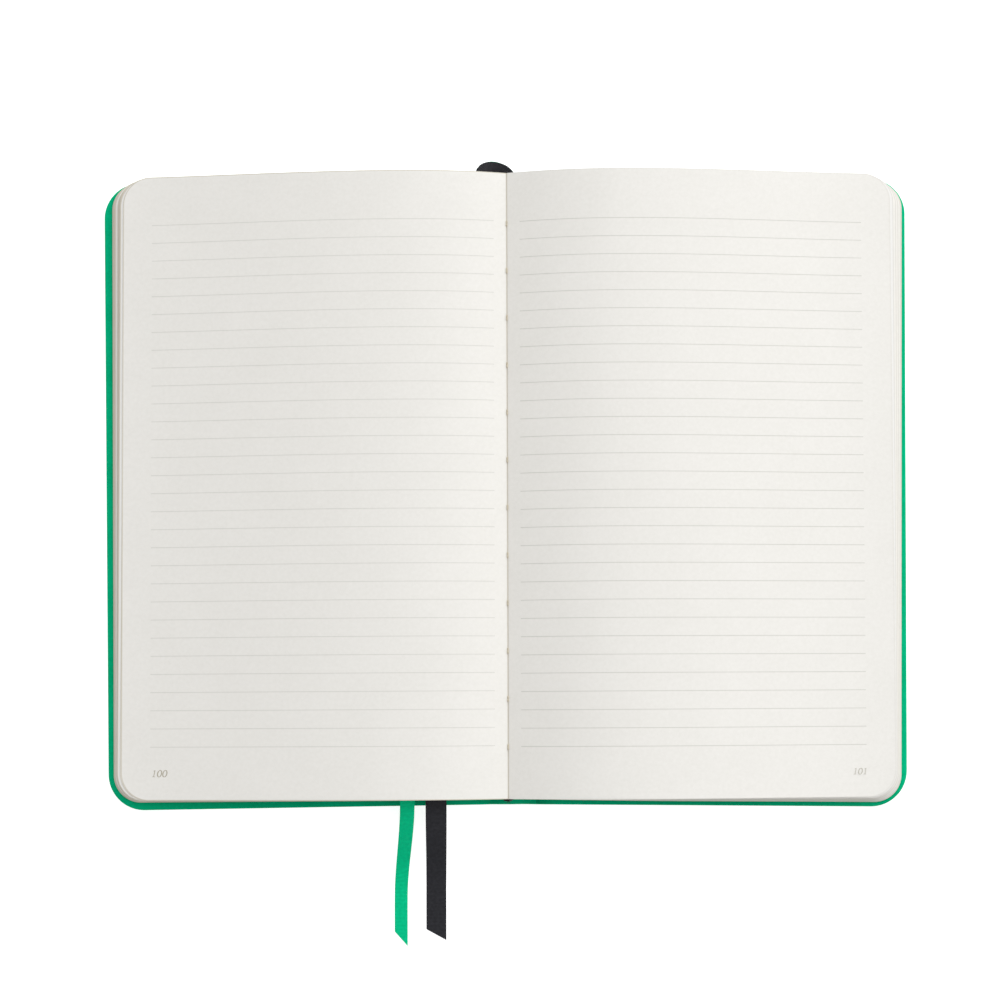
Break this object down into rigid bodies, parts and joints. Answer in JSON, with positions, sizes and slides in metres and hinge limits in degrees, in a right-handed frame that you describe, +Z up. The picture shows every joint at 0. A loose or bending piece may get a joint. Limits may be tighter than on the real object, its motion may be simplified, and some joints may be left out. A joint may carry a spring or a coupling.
{
  "type": "open notebook",
  "caption": "Hardcover ruled notebook lying open near its middle, pages arched up from a sewn gutter, round-cornered case, two ribbon markers out at the tail.",
  "frame": {"origin": "on the table, midway between the outer edges of the two covers and midway between their head and tail", "axes": "+X points to the outer edge of the back cover, under the right-hand page; +Y to the head of the pages; +Z up out of the open pages"},
  "size_m": [0.2696, 0.2618, 0.0215],
  "materials": {
    "page_paper": "matte",
    "endpaper": "matte",
    "mull": "matte",
    "black_band": "satin",
    "linen_thread": "matte",
    "leatherette": "satin",
    "grey_board": "matte",
    "black_ribbon": "satin",
    "green_ribbon": "satin"
  },
  "bodies": {
    "book_block": {"text_block": "page_paper", "front_flyleaf": "endpaper", "back_flyleaf": "endpaper", "spine_lining": "mull", "headband": "black_band", "tailband": "black_band", "sewing_thread": "linen_thread", "spine_wrap": "leatherette", "spine_strip": "grey_board", "black_ribbon": "black_ribbon", "green_ribbon": "green_ribbon"},
    "front_cover": {"front_board": "grey_board", "front_cover_wrap": "leatherette", "front_pastedown": "endpaper"},
    "back_cover": {"back_board": "grey_board", "back_cover_wrap": "leatherette", "back_pastedown": "endpaper"}
  },
  "joints": [
    {"name": "front_cover_hinge", "type": "hinge", "parent": "book_block", "child": "front_cover", "pos_m": [-0.0103, 0.00057, 0.00017], "axis": [0.0113, -0.9999, 0], "range_deg": [0, 90]},
    {"name": "back_cover_hinge", "type": "hinge", "parent": "book_block", "child": "back_cover", "pos_m": [0.0103, 0.00057, 0.00017], "axis": [0.0113, 0.9999, 0], "range_deg": [0, 90]}
  ]
}
